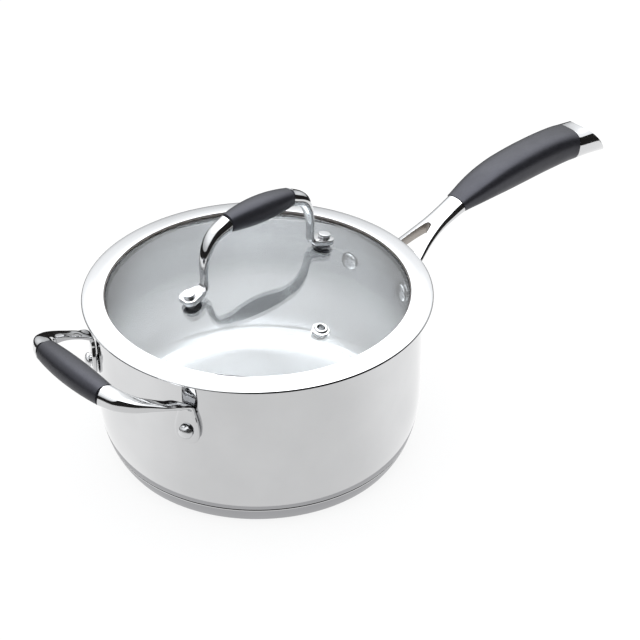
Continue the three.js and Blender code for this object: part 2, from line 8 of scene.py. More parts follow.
import bmesh
import bpy
import numpy as np
from mathutils import Matrix, Vector


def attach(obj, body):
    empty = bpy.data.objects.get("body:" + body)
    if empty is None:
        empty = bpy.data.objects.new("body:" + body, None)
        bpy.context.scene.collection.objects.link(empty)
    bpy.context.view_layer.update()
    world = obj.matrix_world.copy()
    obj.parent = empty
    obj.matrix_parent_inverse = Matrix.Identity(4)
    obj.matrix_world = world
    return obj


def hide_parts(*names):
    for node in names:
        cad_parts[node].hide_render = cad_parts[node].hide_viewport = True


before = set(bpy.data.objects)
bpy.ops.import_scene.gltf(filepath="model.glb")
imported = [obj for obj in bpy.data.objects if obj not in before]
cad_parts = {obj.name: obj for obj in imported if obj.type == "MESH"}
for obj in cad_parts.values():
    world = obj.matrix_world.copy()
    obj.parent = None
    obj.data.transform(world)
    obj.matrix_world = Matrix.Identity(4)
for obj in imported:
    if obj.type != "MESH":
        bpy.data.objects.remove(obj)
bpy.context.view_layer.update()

MM = 0.001
RAD = math.radians
GAP = 0.3  # clearance between neighbouring pieces
WALL = 100.5  # outer radius of the straight wall
SHEET = 1.0  # thickness of the pan's steel
BELLY_DEPTH = 11.0  # how far the belly draws in at the base
BELLY_TOP = 47.0  # where the belly meets the straight wall
SEAM = 12.0  # height of the joint between body and base cap
FLOOR = 7.0  # underside of the inner floor
LIP_START = 99.5  # where the pouring lip begins to flare
SHANK = 2.5  # radius of a rivet shank
HOLE = SHANK + GAP  # radius of the hole it goes through
HANDLE_RIVET_ANGLE, HANDLE_RIVET_HEIGHT = RAD(14.5), 75.3
HELPER_RIVET_ANGLE, HELPER_RIVET_HEIGHT = RAD(27.3), 71.3
ROUND = 192  # facets round the pan and the lid
SMALL_ROUND = 56  # facets round a rivet, washer or seal
ON_AXIS = 1e-6  # a radius below this is a point on the axis


# ---------- meshes ----------
def add_object(name, mesh, materials):
    obj = bpy.data.objects.new(name, mesh)
    bpy.context.scene.collection.objects.link(obj)
    for look in materials:
        mesh.materials.append(look)
    return obj


def from_faces(name, points, faces, materials, face_materials=None):
    """A mesh object from points in millimetres."""
    mesh = bpy.data.meshes.new(name)
    mesh.from_pydata([tuple(p) for p in np.asarray(points, float) * MM], [], faces)
    obj = add_object(name, mesh, materials)
    if face_materials is not None:
        mesh.polygons.foreach_set("material_index", face_materials)
    bm = bmesh.new()
    bm.from_mesh(mesh)
    bmesh.ops.recalc_face_normals(bm, faces=bm.faces)
    bm.to_mesh(mesh)
    bm.free()
    return obj


def evaluated(obj):
    """The object with its modifiers applied."""
    graph = bpy.context.evaluated_depsgraph_get()
    mesh = bpy.data.meshes.new_from_object(obj.evaluated_get(graph))
    obj.modifiers.clear()
    obj.data = mesh
    return obj


def boolean(obj, other, operation):
    cut = obj.modifiers.new("cut", "BOOLEAN")
    cut.operation = operation
    cut.solver = "EXACT"
    cut.material_mode = "TRANSFER"
    cut.object = other
    evaluated(obj)
    bpy.data.objects.remove(other)
    return obj


def soften(obj, width, angle=38, segments=3):
    """Rounds every edge sharper than an angle, by a width in millimetres."""
    bevel = obj.modifiers.new("bevel", "BEVEL")
    bevel.width = width * MM
    bevel.segments = segments
    bevel.limit_method = "ANGLE"
    bevel.angle_limit = RAD(angle)
    bevel.use_clamp_overlap = True
    return evaluated(obj)


def smooth(obj, angle=40):
    obj.data.shade_smooth()
    obj.data.set_sharp_from_angle(angle=RAD(angle))
    return obj


def rounded_corners(points, radius, steps=5):
    """A closed outline with its corners rounded; corners on the axis stay."""
    largest_share = 0.48  # of a side that one corner may take
    straight = 2e-3  # a bend below this is left alone
    points = [np.array(p, float) for p in points]
    radii = radius if isinstance(radius, (list, tuple)) else [radius] * len(points)
    out = []
    for i, p in enumerate(points):
        a, b = points[i - 1] - p, points[(i + 1) % len(points)] - p
        la, lb = np.linalg.norm(a), np.linalg.norm(b)
        r = min(radii[i], la * largest_share, lb * largest_share)
        bend = abs(a @ b / (la * lb) + 1)
        if p[0] < ON_AXIS or r < 1e-4 or bend < straight:
            out.append(p)
            continue
        start, end = p + a / la * r, p + b / lb * r
        for k in range(steps + 1):
            t = k / steps
            out.append((1 - t) ** 2 * start + 2 * t * (1 - t) * p + t * t * end)
    return out


def rounded_corners_flat(points, radii, steps=6):
    """rounded_corners for an outline that isn't turned about the axis."""
    aside = 1000  # keeps every corner off the axis
    moved = [(x + aside, y) for x, y in points]
    return [(x - aside, y) for x, y in rounded_corners(moved, radii, steps)]


def lathe(name, outline, materials, segments=160, where=None, inside=None):
    """A body of revolution about Z from a closed outline of (radius, height).

    Where inside(index of the outline's point) is true, the band takes the second material.
    """
    outline = [np.array(p, float) for p in outline]
    closed = not (outline[0][0] < ON_AXIS and outline[-1][0] < ON_AXIS)
    angles = np.arange(segments) * 2 * math.pi / segments
    points, rows = [], []
    for r, z in outline:
        if r < ON_AXIS:
            rows.append([len(points)] * segments)
            points.append((0, 0, z))
        else:
            rows.append(list(range(len(points), len(points) + segments)))
            points += [(r * math.cos(a), r * math.sin(a), z) for a in angles]
    faces, kinds = [], []
    pairs = list(zip(rows, rows[1:] + rows[:1]))
    if not closed:
        pairs = pairs[:-1]
    for k, (low, high) in enumerate(pairs):
        for i in range(segments):
            j = (i + 1) % segments
            face = []
            for v in (low[i], low[j], high[j], high[i]):
                if v not in face:
                    face.append(v)
            if len(face) > 2:
                faces.append(face)
                kinds.append(1 if inside and inside(k) else 0)
    points = np.array(points)
    if where is not None:
        points = points @ where[:3, :3].T + where[:3, 3]
    return from_faces(name, points, faces, materials, kinds)


def catmull(points, ts, centripetal):
    """Points of a Catmull-Rom curve, worked out the way the CAD's curves are."""
    points = np.array(points, float)
    last = len(points) - 1
    out = []
    for t in ts:
        p = last * min(max(t, 0.0), 1.0)
        i = min(int(p), last - 1)
        w = p - i
        x1, x2 = points[i], points[i + 1]
        x0 = points[i - 1] if i > 0 else 2 * points[0] - points[1]
        x3 = points[i + 2] if i + 2 <= last else 2 * points[last] - points[last - 1]
        if centripetal:
            d0, d1, d2 = (max(np.sum((b - a) ** 2), 1e-12) ** 0.25
                          for a, b in ((x0, x1), (x1, x2), (x2, x3)))
            t1 = ((x1 - x0) / d0 - (x2 - x0) / (d0 + d1) + (x2 - x1) / d1) * d1
            t2 = ((x2 - x1) / d1 - (x3 - x1) / (d1 + d2) + (x3 - x2) / d2) * d1
        else:
            t1, t2 = 0.5 * (x2 - x0), 0.5 * (x3 - x1)
        c2 = -3 * x1 + 3 * x2 - 2 * t1 - t2
        c3 = 2 * x1 - 2 * x2 + t1 + t2
        out.append(x1 + t1 * w + c2 * w * w + c3 * w ** 3)
    return np.array(out)


def sweep(name, stations, materials, around=72, steps=150):
    """A bar along stations.

    A station is (centre, outer direction, half width, half height, squareness, taper).
    """
    ts = np.linspace(0, 1, steps + 1)
    centres = [s[0] for s in stations]
    path = catmull(centres, ts, True)
    delta = 1e-4
    ahead = catmull(centres, np.minimum(ts + delta, 1), True)
    behind = catmull(centres, np.maximum(ts - delta, 0), True)
    along = ahead - behind
    along /= np.linalg.norm(along, axis=1)[:, None]
    outward = catmull([s[1] for s in stations], ts, False)
    across = np.cross(along, outward)
    across /= np.linalg.norm(across, axis=1)[:, None]
    out = np.cross(across, along)
    size = catmull([s[2:6] for s in stations], ts, False)
    theta = np.arange(around) * 2 * math.pi / around
    rings = []
    for k in range(len(ts)):
        width, height, square, taper = size[k]
        up = np.sign(np.cos(theta)) * np.abs(np.cos(theta)) ** (2 / square)
        side = np.sign(np.sin(theta)) * np.abs(np.sin(theta)) ** (2 / square)
        side = side * (1 + taper * up)
        rings.append(
            path[k] + np.outer(side * width, across[k]) + np.outer(up * height, out[k]))
    points = np.concatenate(rings)
    faces = [
        [k * around + i, k * around + (i + 1) % around,
         (k + 1) * around + (i + 1) % around, (k + 1) * around + i]
        for k in range(steps) for i in range(around)
    ]
    faces.append(list(range(around)))
    faces.append([steps * around + i for i in range(around)])
    return from_faces(name, points, faces, materials)


def prism(name, outline, low, high, materials, where=None):
    """An outline in X and Y, raised from one height to another."""
    count = len(outline)
    points = np.array([(x, y, z) for z in (low, high) for x, y in outline])
    faces = [list(range(count)), [count + i for i in range(count)]]
    faces += [[i, (i + 1) % count, count + (i + 1) % count, count + i] for i in range(count)]
    if where is not None:
        points = points @ where[:3, :3].T + where[:3, 3]
    return from_faces(name, points, faces, materials)


def slice_off(obj, point, normal):
    """Removes what lies on the normal's side of a plane, and closes the cut."""
    bm = bmesh.new()
    bm.from_mesh(obj.data)
    cut = bmesh.ops.bisect_plane(
        bm, geom=bm.verts[:] + bm.edges[:] + bm.faces[:], dist=1e-7,
        plane_co=Vector(point) * MM, plane_no=Vector(normal), clear_outer=True)
    edges = [e for e in cut["geom_cut"] if isinstance(e, bmesh.types.BMEdge)]
    bmesh.ops.holes_fill(bm, edges=edges, sides=0)
    bmesh.ops.recalc_face_normals(bm, faces=bm.faces)
    bm.to_mesh(obj.data)
    bm.free()
    return obj


# Places are 4 by 4 matrices in millimetres.
def shift(x, y, z):
    m = np.eye(4)
    m[:3, 3] = (x, y, z)
    return m


def turn(axis, angle):
    return np.array(Matrix.Rotation(angle, 4, axis))


def on_wall(azimuth, height):
    """Points +Z of a piece outwards along a level direction from the pan's axis."""
    return shift(0, 0, height) @ turn("Z", azimuth) @ turn("Y", math.pi / 2)


# ---------- materials ----------
def material(name, **values):
    """A Principled material with some inputs set, its node tree and its shader."""
    mat = bpy.data.materials.new(name)
    mat.use_nodes = True
    tree = mat.node_tree
    shader = tree.nodes["Principled BSDF"]
    for key, value in values.items():
        socket = shader.inputs[key.replace("_", " ")]
        socket.default_value = (*value, 1.0) if isinstance(value, tuple) else value
    return mat, tree, shader


def noise(tree, scale, detail=3.0, stretch=None):
    """Noise on the object's own coordinates; scale is per metre."""
    place = tree.nodes.new("ShaderNodeTexCoord")
    vector = place.outputs["Object"]
    if stretch:
        mapping = tree.nodes.new("ShaderNodeMapping")
        mapping.inputs["Scale"].default_value = stretch
        tree.links.new(vector, mapping.inputs["Vector"])
        vector = mapping.outputs["Vector"]
    texture = tree.nodes.new("ShaderNodeTexNoise")
    texture.inputs["Scale"].default_value = scale
    texture.inputs["Detail"].default_value = detail
    tree.links.new(vector, texture.inputs["Vector"])
    return texture.outputs["Fac"]


def between(tree, value, low, high):
    """value from 0.3 to 0.7 becomes low to high."""
    ramp = tree.nodes.new("ShaderNodeMapRange")
    ramp.inputs["From Min"].default_value = 0.3
    ramp.inputs["From Max"].default_value = 0.7
    ramp.inputs["To Min"].default_value = low
    ramp.inputs["To Max"].default_value = high
    tree.links.new(value, ramp.inputs["Value"])
    return ramp.outputs["Result"]


def tint(tree, value, dark, light):
    """A colour between two, by a value from 0 to 1."""
    mix = tree.nodes.new("ShaderNodeMix")
    mix.data_type = "RGBA"
    mix.inputs[6].default_value = (*dark, 1)
    mix.inputs[7].default_value = (*light, 1)
    tree.links.new(value, mix.inputs[0])
    return mix.outputs[2]


def bump(tree, shader, height, strength, distance):
    """Roughens a surface; distance is in metres."""
    node = tree.nodes.new("ShaderNodeBump")
    node.inputs["Strength"].default_value = strength
    node.inputs["Distance"].default_value = distance
    tree.links.new(height, node.inputs["Height"])
    tree.links.new(node.outputs["Normal"], shader.inputs["Normal"])


GRAIN_DEPTH = 0.00002  # metres


def steel(name, dark, light, rough, grain=0.02):
    """Steel with faint patches, and a roughness that varies between two values."""
    mat, tree, shader = material(name, Metallic=1.0)
    patches = between(tree, noise(tree, scale=26, detail=4), 0, 1)  # patches some centimetres wide
    tree.links.new(tint(tree, patches, dark, light), shader.inputs["Base Color"])
    wipe = between(tree, noise(tree, scale=60, detail=5, stretch=(1, 1, 3)), *rough)
    tree.links.new(wipe, shader.inputs["Roughness"])
    bump(tree, shader, noise(tree, scale=900, detail=2), grain, GRAIN_DEPTH)
    return mat


def spun_steel(name, dark, light, rough, strength):
    """Steel finished on a lathe: fine rings round Z."""
    mat, tree, shader = material(name, Metallic=1.0)
    place = tree.nodes.new("ShaderNodeTexCoord")
    split = tree.nodes.new("ShaderNodeSeparateXYZ")
    flat = tree.nodes.new("ShaderNodeCombineXYZ")
    length = tree.nodes.new("ShaderNodeVectorMath")
    length.operation = "LENGTH"
    radius_and_height = tree.nodes.new("ShaderNodeCombineXYZ")
    texture = tree.nodes.new("ShaderNodeTexNoise")
    texture.inputs["Scale"].default_value = 1400  # rings of about 0.7 mm
    texture.inputs["Detail"].default_value = 4
    tree.links.new(place.outputs["Object"], split.inputs[0])
    tree.links.new(split.outputs["X"], flat.inputs["X"])
    tree.links.new(split.outputs["Y"], flat.inputs["Y"])
    tree.links.new(flat.outputs[0], length.inputs[0])
    tree.links.new(length.outputs["Value"], radius_and_height.inputs["X"])
    tree.links.new(split.outputs["Z"], radius_and_height.inputs["Y"])
    tree.links.new(radius_and_height.outputs[0], texture.inputs["Vector"])
    rings = between(tree, texture.outputs["Fac"], 0, 1)
    tree.links.new(tint(tree, rings, dark, light), shader.inputs["Base Color"])
    tree.links.new(between(tree, texture.outputs["Fac"], *rough), shader.inputs["Roughness"])
    bump(tree, shader, texture.outputs["Fac"], strength, GRAIN_DEPTH)
    return mat


def silicone(name, dark, light, rough):
    """Matt moulded silicone with a fine speckle and a slightly pebbled skin."""
    mat, tree, shader = material(name, Metallic=0.0)
    shader.inputs["IOR"].default_value = 1.5
    shader.inputs["Specular Tint"].default_value = (0.86, 0.87, 1.0, 1.0)
    speckle = between(tree, noise(tree, scale=420, detail=3), 0, 1)
    tree.links.new(tint(tree, speckle, dark, light), shader.inputs["Base Color"])
    wipe = between(tree, noise(tree, scale=90, detail=4), *rough)
    tree.links.new(wipe, shader.inputs["Roughness"])
    pebble_depth = 0.00004
    bump(tree, shader, noise(tree, scale=2600, detail=2), 0.25, pebble_depth)
    return mat


# name, darkest and lightest colour, least and greatest roughness, strength of the grain
STEEL = steel("polished_steel", (0.595, 0.598, 0.605), (0.635, 0.638, 0.645), (0.05, 0.09))
BRIGHT = steel("bright_steel", (0.625, 0.628, 0.635), (0.665, 0.668, 0.675), (0.04, 0.07))
RIVET = steel("rivet_steel", (0.62, 0.625, 0.635), (0.68, 0.685, 0.695), (0.17, 0.25), 0.04)
SATIN = steel("satin_steel", (0.55, 0.55, 0.55), (0.62, 0.62, 0.62), (0.22, 0.32), 0.05)
INSIDE = spun_steel("spun_steel", (0.64, 0.643, 0.648), (0.69, 0.693, 0.70), (0.20, 0.27),
                    0.12)
CAST = steel("cast_steel", (0.30, 0.275, 0.25), (0.48, 0.45, 0.42), (0.35, 0.5), 0.5)
ALUMINIUM = steel("aluminium", (0.60, 0.61, 0.62), (0.68, 0.69, 0.70), (0.35, 0.5), 0.1)
GRIP_SILICONE = silicone("grey_silicone", (0.006, 0.006, 0.008), (0.010, 0.010, 0.013),
                         (0.36, 0.44))
BLACK_SILICONE = silicone("black_silicone", (0.026, 0.026, 0.028), (0.036, 0.036, 0.038),
                          (0.4, 0.5))
BAND_SILICONE = silicone("band_silicone", (0.10, 0.088, 0.075), (0.15, 0.135, 0.12), (0.35, 0.45))


def clear_glass():
    mat, tree, shader = material("clear_glass", Roughness=0.0, IOR=1.5)
    shader.inputs["Transmission Weight"].default_value = 1.0
    haze = between(tree, noise(tree, scale=30, detail=3), 0, 1)
    colour = tint(tree, haze, (0.94, 0.965, 0.975), (0.95, 0.972, 0.982))
    tree.links.new(colour, shader.inputs["Base Color"])
    return mat


GLASS = clear_glass()


# ---------- pan ----------
def keep(obj, body):
    """Hands a finished piece over: its body, and the CAD node it takes the place of."""
    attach(obj, body)
    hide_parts(obj.name.removesuffix("_fine"))


def belly(z):
    """Outer radius of the body at a height."""
    return WALL - (BELLY_DEPTH * (1 - z / BELLY_TOP) ** 3 if z < BELLY_TOP else 0)


def bezier(points, steps):
    """A Bezier curve of any degree."""
    points = [np.array(p, float) for p in points]
    out = []
    for k in range(steps + 1):
        t = k / steps
        row = points
        while len(row) > 1:
            row = [(1 - t) * a + t * b for a, b in zip(row, row[1:])]
        out.append(row[0])
    return out


def pan_shell():
    step = 1.2  # how far the body draws in behind the base cap
    lip_steps = 12
    seam = belly(SEAM) - step
    inner_floor = FLOOR + SHEET
    heights = np.linspace(15, BELLY_TOP, 18)
    outer = [(0, FLOOR), (30, FLOOR), (60, FLOOR)]
    outer += bezier([(84, FLOOR), (seam - 2.4, FLOOR), (seam, SEAM + 0.1)], 8)
    outer += [(belly(12.5) - 0.35, 12.45), (belly(12.9), 12.95)]
    outer += [(belly(z), z) for z in heights]
    outer += [(WALL, z) for z in (60, 75, 90)]
    outer += bezier([(WALL, LIP_START), (WALL, 102.3), (103.1, 102.9), (105.3, 103.3)], lip_steps)
    outer += [(105.45, 103.6), (105.3, 103.95)]
    bore = WALL - SHEET
    inner = bezier([(104.7, 104.1), (102.3, 103.6), (bore, 102.9), (bore, LIP_START)], lip_steps)
    inner += [(bore, z) for z in (90, 75, 60)]
    inner += [(belly(z) - SHEET, z) for z in heights[::-1]]
    inner += bezier([(seam - 0.7, SEAM + 0.8), (seam - 3.2, inner_floor), (83.6, inner_floor)], 10)
    inner += [(60, inner_floor), (30, inner_floor), (0, inner_floor)]
    obj = lathe("pan_shell_fine", outer + inner, [STEEL, INSIDE], ROUND,
                inside=lambda k: k >= len(outer) + lip_steps)
    keep(smooth(obj, angle=50), "pan")


def base_cap():
    proud, sheet = 0.25, 0.8  # how far the cap stands out of the belly, and its thickness

    def outer(z):
        return belly(z) + proud

    inner = [(outer(z) - sheet, z) for z in (11.0, 8, 5, 1.8)]
    outline = [(0, 0), (40, 0), (86.8, 0), (88.4, 0.12), (outer(0) - 0.35, 0.55)]
    outline += [(outer(z), z) for z in (1.2, 2.4, 4, 6, 8, 10, 11.2)]
    outline += [(outer(11.7) - 0.06, 11.7), (outer(SEAM) - 0.3, SEAM), (outer(SEAM) - 0.7, 11.9)]
    outline += inner + [(88.1, sheet), (0, sheet)]
    obj = lathe("base_cap_fine", outline, [STEEL], ROUND)
    keep(smooth(obj, angle=50), "pan")


WALL_AZIMUTHS = {
    "handle_rivet_left": HANDLE_RIVET_ANGLE,
    "handle_rivet_right": -HANDLE_RIVET_ANGLE,
    "helper_rivet_left": math.pi - HELPER_RIVET_ANGLE,
    "helper_rivet_right": math.pi + HELPER_RIVET_ANGLE,
}


def wall_rivet(name):
    """A low dome inside the pan, a shank, and a domed head or a plain end outside."""
    helper = name.startswith("helper")
    seat = WALL - SHEET - 2 * GAP  # flat back of the inner head
    inner_head, outer_head = 5.8, 4.5
    outline = [(0, seat - 2.0)]
    outline += [(inner_head * math.sin(a), seat - 0.35 - 1.65 * math.cos(a)) for a in
                np.linspace(0.12, math.pi / 2, 14)]
    outline += [(inner_head, seat - 0.1), (inner_head - 0.1, seat), (SHANK, seat)]
    if helper:
        top = WALL + 4.2  # flat back of the outer head
        outline += [(SHANK, top), (outer_head - 0.15, top), (outer_head, top + 0.15),
                    (outer_head, top + 0.6)]
        outline += [(outer_head * math.cos(a), top + 0.6 + 2.6 * math.sin(a)) for a in
                    np.linspace(0.08, math.pi / 2 - 0.06, 16)]
        outline += [(0, top + 3.2)]
    else:
        outline += [(SHANK, WALL + 4.5), (0, WALL + 4.5)]
    height = HELPER_RIVET_HEIGHT if helper else HANDLE_RIVET_HEIGHT
    place = on_wall(WALL_AZIMUTHS[name], height)
    obj = lathe(name + "_fine", outline, [RIVET], SMALL_ROUND, place)
    keep(smooth(obj, angle=40), "pan")


# ---------- long handle ----------
# (distance from the axis, top, underside, half width, squareness of the section)
FORK = [
    (95, 73.0, 66.0, 31.5, 2.6), (104, 76.6, 69.4, 27.2, 2.6), (111, 80.4, 73.0, 21.2, 2.6),
    (118, 84.4, 76.9, 16.4, 2.5), (126, 88.9, 81.2, 13.3, 2.4), (136, 94.6, 86.7, 10.3, 2.4),
    (147, 99.9, 91.6, 8.2, 2.4), (157, 104.5, 95.1, 7.8, 2.4), (167, 108.9, 98.0, 8.0, 2.5),
    (176, 112.3, 98.8, 9.0, 2.5),
]
GRIP = [
    (158, 104.9, 97.8, 7.7, 3.1), (168, 109.5, 98.2, 8.2, 2.9), (180, 114.6, 99.2, 10.1, 2.9),
    (191, 118.6, 99.9, 11.4, 2.8), (204, 122.0, 100.4, 12.0, 2.8), (220, 124.2, 101.1, 12.2, 2.8),
    (236, 125.4, 101.8, 12.1, 2.8), (251, 125.7, 102.2, 12.1, 2.8), (263, 125.0, 102.4, 12.3, 2.8),
    (272, 123.7, 101.9, 12.7, 2.7), (282, 122.7, 100.8, 12.2, 2.7), (293, 120.9, 98.6, 10.8, 2.6),
    (306, 117.9, 95.6, 7.9, 2.6),
]
# Seams at the two ends of the grip: (distance from the axis, height, lean)
GRIP_START = (167.0, 104.0, RAD(-16))
GRIP_END = (269.4, 112.8, RAD(3))


def handle_stations(rows, taper):
    """Stations from rows of FORK or GRIP, with sections square to the handle's run."""
    middles = [(r[1] + r[2]) / 2 for r in rows]
    out = []
    for i, (x, top, low, half, square) in enumerate(rows):
        a, b = max(i - 1, 0), min(i + 1, len(rows) - 1)
        slope = math.atan2(middles[b] - middles[a], rows[b][0] - rows[a][0])
        height = (top - low) / 2 * math.cos(slope)
        out.append(((x, 0, middles[i]), (0, 0, 1), half, height, square, taper))
    return out


def tang_stations(margin=0.0):
    """The steel core of the long handle, or the hole round it."""
    middles = [(r[1] + r[2]) / 2 for r in GRIP]
    xs = [r[0] for r in GRIP]
    section = (4.5 + margin, 2.6 + margin, 3, 0)
    return [((x, 0, float(np.interp(x, xs, middles))), (0, 0, 1), *section)
            for x in (161, 180, 200, 225, 250, 266, 278)]


def seam_cut(obj, seam, side):
    """Keeps what is on the outer side (1) or the pan side (-1) of a seam."""
    x, z, lean = seam
    normal = np.array((math.cos(lean), 0, -math.sin(lean)))
    point = np.array((x, 0, z)) + side * GAP / 2 * normal
    return slice_off(obj, point, -side * normal)


def fork_slot():
    """The slot between the fork's legs: round at its closed end, wider towards the pan."""
    radius, centre, flare = 3.0, 140.5, RAD(17)
    arc = [(centre + radius * math.cos(a), radius * math.sin(a))
           for a in np.linspace(flare - math.pi / 2, math.pi / 2 - flare, 25)]
    outline = [(80, -21), (101, -16.5)] + arc + [(101, 16.5), (80, 21)]
    below, above = 40, 130
    return prism("slot", outline, below, above, [CAST])


def wall_foot(azimuth, height):
    """A rounded plate that lies along the outside of the wall, centred on a rivet."""
    width, tall, thick, corner, edge = 18.0, 22.0, 3.4, 7.5, 0.9
    outline = rounded_corners_flat(
        [(-tall / 2, -width / 2), (tall / 2, -width / 2), (tall / 2, width / 2),
         (-tall / 2, width / 2)], corner, 10)
    plate = prism("plate", outline, WALL - 8, WALL + 8, [STEEL], on_wall(azimuth, height))
    near, far = WALL + GAP, WALL + GAP + thick
    band = lathe("band", [(near, height - tall), (far, height - tall), (far, height + tall),
                          (near, height + tall)], [STEEL], 256)
    return soften(boolean(plate, band, "INTERSECT"), edge)


def handle_stem():
    stem = sweep("handle_stem_fine", handle_stations(FORK, taper=-0.04), [STEEL, CAST],
                 around=96, steps=170)
    seam_cut(stem, GRIP_START, -1)
    boolean(stem, fork_slot(), "DIFFERENCE")
    soften(stem, width=0.35, angle=40, segments=2)
    tang = sweep("tang", tang_stations(), [STEEL], around=32, steps=40)
    boolean(stem, tang, "UNION")
    near = WALL + GAP
    inside = lathe("inside", [(0, 50), (near, 50), (near, 130), (0, 130)], [STEEL], 256)
    boolean(stem, inside, "DIFFERENCE")
    for name in ("handle_rivet_left", "handle_rivet_right"):
        azimuth = WALL_AZIMUTHS[name]
        boolean(stem, wall_foot(azimuth, HANDLE_RIVET_HEIGHT), "UNION")
        from_axis, to_axis = WALL - 2, WALL + 4.5 + GAP
        socket = lathe("socket", [(0, from_axis), (HOLE, from_axis), (HOLE, to_axis), (0, to_axis)],
                       [STEEL], 32, on_wall(azimuth, HANDLE_RIVET_HEIGHT))
        boolean(stem, socket, "DIFFERENCE")
    keep(smooth(stem, angle=45), "pan")


def sleeve(name, materials):
    """The outer surface that the grip and the end cap share."""
    return sweep(name, handle_stations(GRIP, taper=0.08), materials, around=112, steps=200)


def hollow_for_tang(obj):
    hole = sweep("hole", tang_stations(GAP), [BLACK_SILICONE], around=32, steps=40)
    return boolean(obj, hole, "DIFFERENCE")


def handle_grip():
    grip = sleeve("handle_grip_fine", [GRIP_SILICONE])
    seam_cut(grip, GRIP_START, 1)
    seam_cut(grip, GRIP_END, -1)
    soften(grip, width=0.45)
    hollow_for_tang(grip)
    keep(smooth(grip), "pan")


def handle_end_cap():
    """The end of the handle, cut to a long slant that ends in a low tip."""
    cap = sleeve("handle_end_cap_fine", [STEEL])
    seam_cut(cap, GRIP_END, 1)
    tip, brow = (303.0, 96.8), (281.6, 121.2)
    side = [(260, 80), (302.8, 80), tip]
    side += [tuple(p) for p in bezier([tip, (292.5, 110.6), brow], 24)][1:]
    side += [tuple(p) for p in bezier([brow, (280.0, 122.6), (277.0, 124.5)], 8)][1:]
    side += [(260, 130)]
    upright, half = turn("X", math.pi / 2), 20
    cutter = prism("slant", side, -half, half, [STEEL], upright)
    boolean(cap, cutter, "INTERSECT")
    soften(cap, width=0.4)
    hollow_for_tang(cap)
    keep(smooth(cap), "pan")


# ---------- bows: an arm on each side of a grip, and a core bar through it ----------
def mirrored(half, side):
    """One arm's stations; the seventh value of each slides it along Y."""
    return [((s[0][0], s[0][1] * side + s[6], s[0][2]), (s[1][0], s[1][1] * side, s[1][2]),
             *s[2:6]) for s in half]


def grip_stations(end, middle, out, ends, swell, square, slide=0.0):
    """The silicone part of a bow from end to end: its middle is fatter than its ends."""
    stations = []
    for share in (-1, -0.72, -0.38, 0, 0.38, 0.72, 1):
        bow = 1 - share ** 2
        at = (end[0] + (middle[0] - end[0]) * bow, end[1] * share + slide,
              end[2] + (middle[2] - end[2]) * bow)
        stations.append((at, out, ends + swell * bow, ends + swell * 0.9 * bow, square, 0))
    return stations


def core_of(stations, radius, reach):
    """A round bar along a grip that reaches past both of its ends."""
    out = []
    for i, s in enumerate(stations):
        past = -reach if i == 0 else reach if i == len(stations) - 1 else 0
        out.append(((s[0][0], s[0][1] + past, s[0][2]), s[1], radius, radius, 2, 0))
    return out


def arm(name, half, side, stations, materials, around, steps):
    """One arm of a bow, cut flat where the grip begins."""
    obj = sweep(name, mirrored(half, side), materials, around, steps)
    seam = stations[-1 if side > 0 else 0][0][1] + side * GAP / 2
    slice_off(obj, (0, seam, 0), (0, -side, 0))
    return soften(obj, width=0.3)


def bow_metal(name, half, stations, core, materials, around, steps):
    """Both arms of a bow, joined by the core bar that runs through the grip."""
    first = arm(name, half, 1, stations, materials, around, steps)
    boolean(first, arm("arm", half, -1, stations, materials, around, steps), "UNION")
    bar = sweep("core", core, materials, around=24, steps=24)
    return boolean(first, bar, "UNION")


def bow_grip(name, stations, core_radius, reach):
    """The grip between the two arms, hollow for the core bar."""
    grip = sweep(name, stations, [GRIP_SILICONE], around=80, steps=120)
    for side, station in ((1, stations[-1]), (-1, stations[0])):
        slice_off(grip, (0, station[0][1] - side * GAP / 2, 0), (0, side, 0))
    soften(grip, width=0.35)
    hole = sweep("hole", core_of(stations, core_radius + GAP, reach), [BLACK_SILICONE],
                 around=24, steps=24)
    return boolean(grip, hole, "DIFFERENCE")


TILT = RAD(8)  # how far the top of the helper grip leans towards the pan
UP = (math.sin(TILT), 0, math.cos(TILT))
DOWN = (-math.sin(TILT), 0, -math.cos(TILT))
RADIAL = (-math.cos(HELPER_RIVET_ANGLE), math.sin(HELPER_RIVET_ANGLE), 0)
TAB_HALF = 1.55  # half of the strap's thickness
TAB_RADIUS = WALL + GAP + 0.15 + TAB_HALF  # middle of the strap's thickness, on the wall
HELPER_CORE, LID_CORE = 3.0, 2.8  # radii of the core bars
CORE_REACH = 2  # how far a core bar runs into each arm


def on_tab(z, width, radius=TAB_RADIUS, out=RADIAL, square=5.0):
    """A station of the strap where it lies on the wall."""
    return ((RADIAL[0] * radius, RADIAL[1] * radius, z), out, width, TAB_HALF, square, 0, 0)


HELPER_GRIP = grip_stations(
    end=(-134.3, 29.2, 106.1), middle=(-135.6, 0, 107.0), out=UP, ends=6.5, swell=1.53, square=2.4)
# Half of a bow, from its foot up to the end of the grip: centre, outer direction, half width,
# half height, squareness, taper, slide along Y
HELPER_HALF = [
    on_tab(63.0, 3.2), on_tab(63.9, 5.3), on_tab(66.4, 7.3), on_tab(71.3, 7.9), on_tab(77.3, 7.2),
    on_tab(83.3, 5.6), on_tab(88.0, 5.0, TAB_RADIUS + 1.0, (-0.7, 0.3, -0.6), 3.4),
    ((-98.6, 47.0, 92.1), DOWN, 4.8, 1.7, 3, 0, 0),
    ((-106, 47.2, 95.3), DOWN, 4.7, 1.8, 2.8, 0, 0),
    ((-115, 46.0, 99.1), DOWN, 4.9, 2.4, 3.4, 0, 0),
    ((-124.6, 43.0, 102.5), DOWN, 5.5, 3.6, 3.6, 0, 0),
    ((-131.2, 37.2, 104.9), DOWN, 6.1, 5.1, 3.2, 0, 0),
    ((-134.6, 28.4, 106.2), DOWN, 6.4, 6.3, 2.6, 0, 0),
]


